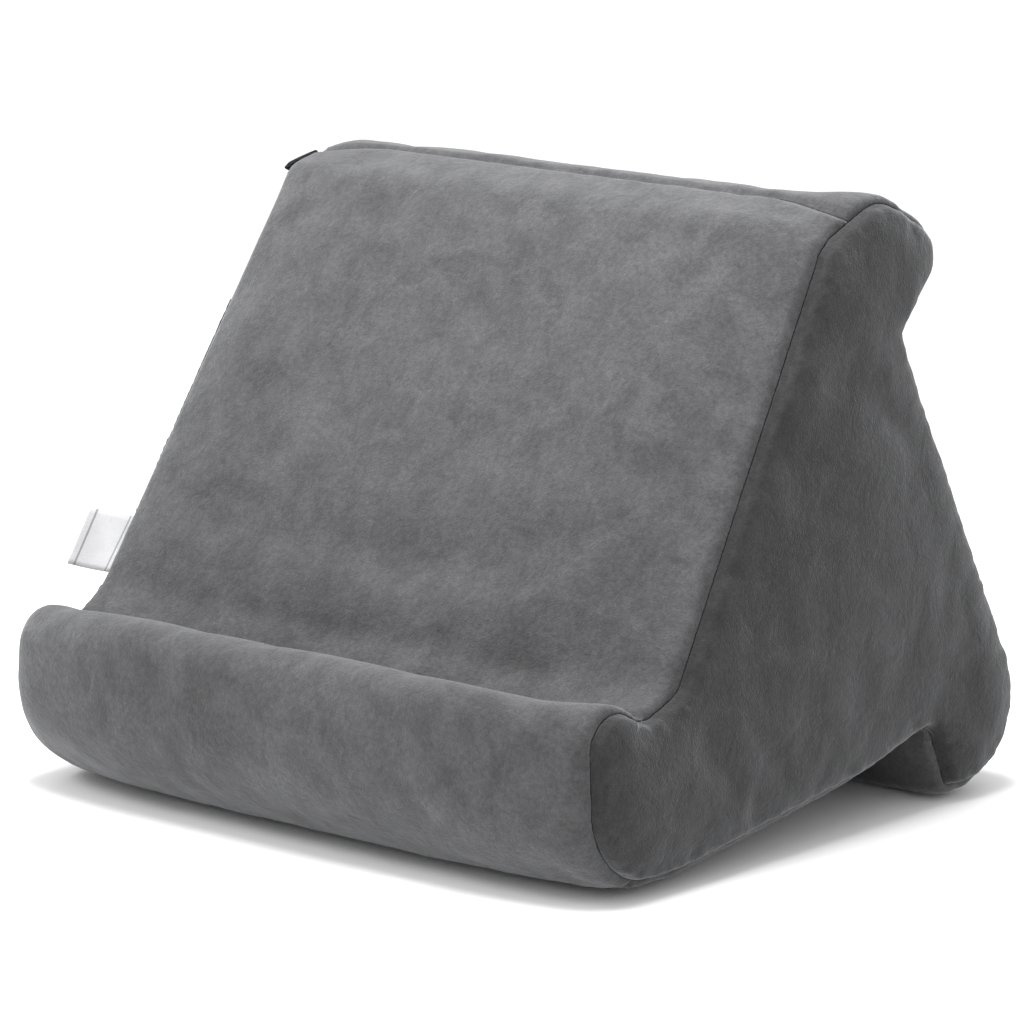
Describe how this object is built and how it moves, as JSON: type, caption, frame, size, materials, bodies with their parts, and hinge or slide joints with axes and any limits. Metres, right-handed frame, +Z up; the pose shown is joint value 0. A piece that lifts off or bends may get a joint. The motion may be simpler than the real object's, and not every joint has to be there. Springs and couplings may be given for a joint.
{
  "type": "pillow tablet stand",
  "caption": "Free-standing plush foam pillow with a front lip, a top roll and a rear foot, holding a tablet at several angles in the ledges between its lobes.",
  "frame": {"origin": "centre of the bounding box's footprint, at the surface the stand rests on; the pillow's own middle plane is 8.1 mm towards +X of it, because the label stands out on the left", "axes": "+Z up, -Y towards the front, which the tablet's screen faces, +X towards the right side as seen from the front"},
  "size_m": [0.2862, 0.2556, 0.2248],
  "materials": {
    "plush": "short-pile grey plush",
    "plush_side": "short-pile grey plush, pile lying the other way",
    "foam": "open-cell foam",
    "liner": "thin non-woven",
    "net": "hexagonal polyester net",
    "binding": "woven elastic binding",
    "tape": "woven polyester tape",
    "coil": "moulded coil",
    "zip_metal": "dark nickel",
    "label": "white woven satin"
  },
  "bodies": {
    "pillow": {"foam_core": "foam", "liner_wrap": "liner", "liner_side_left": "liner", "liner_side_right": "liner", "side_panel_left": "plush_side", "side_panel_right": "plush_side", "base_panel": "plush", "foot_panel": "plush", "back_panel": "plush", "top_roll_panel": "plush", "front_rest_panel": "plush", "front_lip_panel": "plush", "pocket_net": "net", "pocket_binding": "binding", "side_label": "label", "zip_tape_upper": "tape", "zip_tape_lower": "tape", "zip_coil_upper": "coil", "zip_coil_lower": "coil", "zip_top_stop_upper": "zip_metal", "zip_top_stop_lower": "zip_metal", "zip_bottom_stop": "zip_metal"},
    "slider": {"zip_slider": "zip_metal"},
    "pull": {"zip_pull": "zip_metal"}
  },
  "joints": [
    {"name": "zip_slide", "type": "slide", "parent": "pillow", "child": "slider", "axis": [-1, 0, 0], "range_m": [0, 0.21], "deforming": ["zip_coil_upper", "zip_coil_lower"]},
    {"name": "zip_pull_hinge", "type": "hinge", "parent": "slider", "child": "pull", "pos_m": [0.11514, 0.11328, 0.07072], "axis": [0, 0.4462, -0.8949], "range_deg": [0, 175]}
  ]
}
